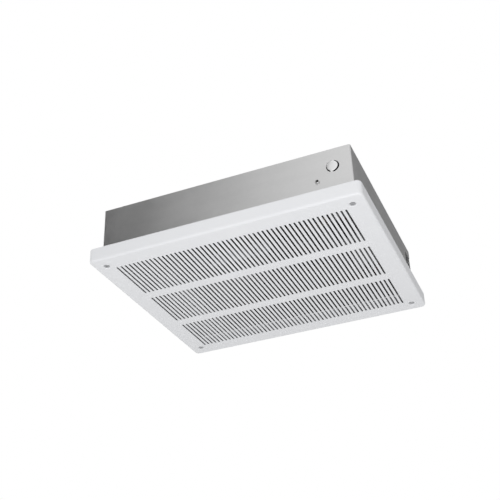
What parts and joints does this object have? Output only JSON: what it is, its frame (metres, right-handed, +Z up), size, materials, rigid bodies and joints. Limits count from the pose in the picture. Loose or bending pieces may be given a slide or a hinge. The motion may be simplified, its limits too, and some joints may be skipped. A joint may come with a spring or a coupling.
{
  "type": "ceiling fan heater",
  "caption": "Recessed ceiling fan heater: folded steel back box, slotted white grille, and a fan, finned element, controls and wiring compartment between them.",
  "frame": {"origin": "centre of the back box's top face, which lies against the structure above the ceiling", "axes": "+Z up into the ceiling, +X along the long side of the grille, towards the wiring compartment; the knockout wall faces -Y"},
  "size_m": [0.49, 0.429, 0.114],
  "materials": {
    "white_paint": "white baked enamel, satin, slightly orange-peeled",
    "galvanised": "galvanised sheet steel, faint rolling streaks and spangle",
    "grille_fastener": "plated steel screw",
    "zinc_fastener": "zinc plated steel",
    "laminations": "stacked electrical steel, varnished",
    "aluminium": "mill-finish sheet and castings",
    "bronze": "sintered, oil-filled",
    "copper": "enamelled winding wire",
    "element_sheath": "steel sheath and fins, heat-tinted",
    "nylon": "moulded",
    "phenolic": "moulded phenolic",
    "ceramic": "unglazed steatite",
    "rubber": "moulded",
    "red_plastic": "moulded",
    "green_fastener": "green dyed plating",
    "lead_red": "extruded insulation",
    "lead_black": "extruded insulation",
    "lead_white": "extruded insulation"
  },
  "bodies": {
    "housing": {"back_box": "galvanised", "grille": "white_paint", "grille_screw_1": "grille_fastener", "grille_screw_2": "grille_fastener", "grille_screw_3": "grille_fastener", "grille_screw_4": "grille_fastener", "heater_pan": "galvanised", "pan_screw_1": "zinc_fastener", "pan_screw_2": "zinc_fastener", "pan_screw_3": "zinc_fastener", "pan_screw_4": "zinc_fastener", "motor_strap": "galvanised", "strap_screw_1": "zinc_fastener", "strap_screw_2": "zinc_fastener", "strap_screw_3": "zinc_fastener", "strap_screw_4": "zinc_fastener", "motor_core": "laminations", "coil_bobbin": "nylon", "coil_winding": "copper", "upper_bearing_bridge": "aluminium", "lower_bearing_bridge": "aluminium", "upper_bush": "bronze", "lower_bush": "bronze", "motor_stud_1": "zinc_fastener", "motor_stud_2": "zinc_fastener", "motor_nut_1": "zinc_fastener", "motor_nut_2": "zinc_fastener", "heating_element": "element_sheath", "element_support_1": "galvanised", "element_support_2": "galvanised", "element_bushing_1": "ceramic", "element_bushing_2": "ceramic", "element_terminal_1": "zinc_fastener", "element_terminal_2": "zinc_fastener", "control_plate": "galvanised", "plate_screw_1": "zinc_fastener", "plate_screw_2": "zinc_fastener", "fan_delay_relay": "phenolic", "limit_cutout": "phenolic", "wiring_cover": "galvanised", "side_screw": "zinc_fastener", "lead_grommet": "rubber", "terminal_block": "phenolic", "terminal_screw_1": "zinc_fastener", "terminal_screw_2": "zinc_fastener", "terminal_screw_3": "zinc_fastener", "ground_screw": "green_fastener", "line_lead": "lead_black", "neutral_lead": "lead_white", "element_lead_1": "lead_red", "element_lead_2": "lead_red", "motor_lead_1": "lead_black", "motor_lead_2": "lead_white"},
    "fan_rotor": {"motor_rotor": "aluminium", "motor_shaft": "zinc_fastener", "fan_blade": "aluminium", "fan_hub": "zinc_fastener", "fan_set_screw": "laminations"},
    "reset": {"reset_button": "red_plastic"}
  },
  "joints": [
    {"name": "fan_spin", "type": "hinge", "parent": "housing", "child": "fan_rotor", "pos_m": [0, 0, -0.05], "axis": [0, 0, 1], "continuous": true},
    {"name": "reset_press", "type": "slide", "parent": "housing", "child": "reset", "axis": [0, 0, 1], "range_m": [0, 0.0025], "stiffness_N_per_m": 300, "springref_m": -0.001}
  ]
}
